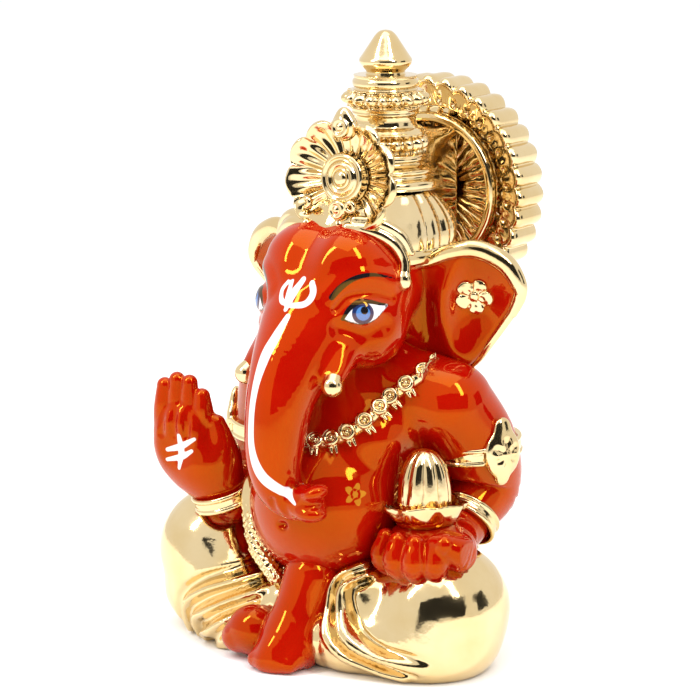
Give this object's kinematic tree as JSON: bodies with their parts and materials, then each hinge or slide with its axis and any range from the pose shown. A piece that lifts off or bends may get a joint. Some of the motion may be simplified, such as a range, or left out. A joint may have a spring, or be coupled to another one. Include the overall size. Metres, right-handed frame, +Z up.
{
  "type": "ganesha idol",
  "caption": "Small seated elephant-headed idol in red glaze and gold, with a raised palm, a sweet bowl, a tiered crown and a round fluted halo.",
  "frame": {"origin": "on the surface it stands on, under the middle of the seat", "axes": "+Z up; -Y is the way the figure faces; +X is towards the figure's left hand, the one with the bowl"},
  "size_m": [0.0647, 0.0546, 0.1003],
  "materials": {
    "red_glaze": "high gloss orange-red glaze",
    "gold_plate": "mirror-bright pale gold plating over glaze"
  },
  "bodies": {
    "root": {"cloth_pleats": "gold_plate", "crown_cap": "gold_plate", "crown_collar": "gold_plate", "crown_drum": "gold_plate", "crown_finial": "gold_plate", "crown_lower_ring": "gold_plate", "crown_plate": "gold_plate", "crown_rosette": "gold_plate", "crown_upper_ring": "gold_plate", "front_foot": "red_glaze", "halo_arch": "gold_plate", "halo_panel": "gold_plate", "halo_ring": "gold_plate", "halo_web": "gold_plate", "head_and_trunk": "red_glaze", "left_arm": "red_glaze", "left_armlet": "gold_plate", "left_bracelet": "gold_plate", "left_crown_drop": "gold_plate", "left_ear": "red_glaze", "left_ear_flower": "gold_plate", "left_ear_trim": "gold_plate", "left_hand": "red_glaze", "left_leg_wrap": "gold_plate", "left_tusk": "gold_plate", "necklace": "gold_plate", "right_arm": "red_glaze", "right_armlet": "gold_plate", "right_bracelet": "gold_plate", "right_crown_drop": "gold_plate", "right_ear": "red_glaze", "right_ear_flower": "gold_plate", "right_ear_trim": "gold_plate", "right_hand": "red_glaze", "right_leg_wrap": "gold_plate", "right_tusk": "gold_plate", "rosette_boss": "gold_plate", "rosette_crest": "gold_plate", "rosette_pendant": "gold_plate", "sash_end": "gold_plate", "seat_wrap": "gold_plate", "sweet": "gold_plate", "sweet_bowl": "gold_plate", "torso": "red_glaze", "tucked_foot": "red_glaze"}
  },
  "joints": []
}
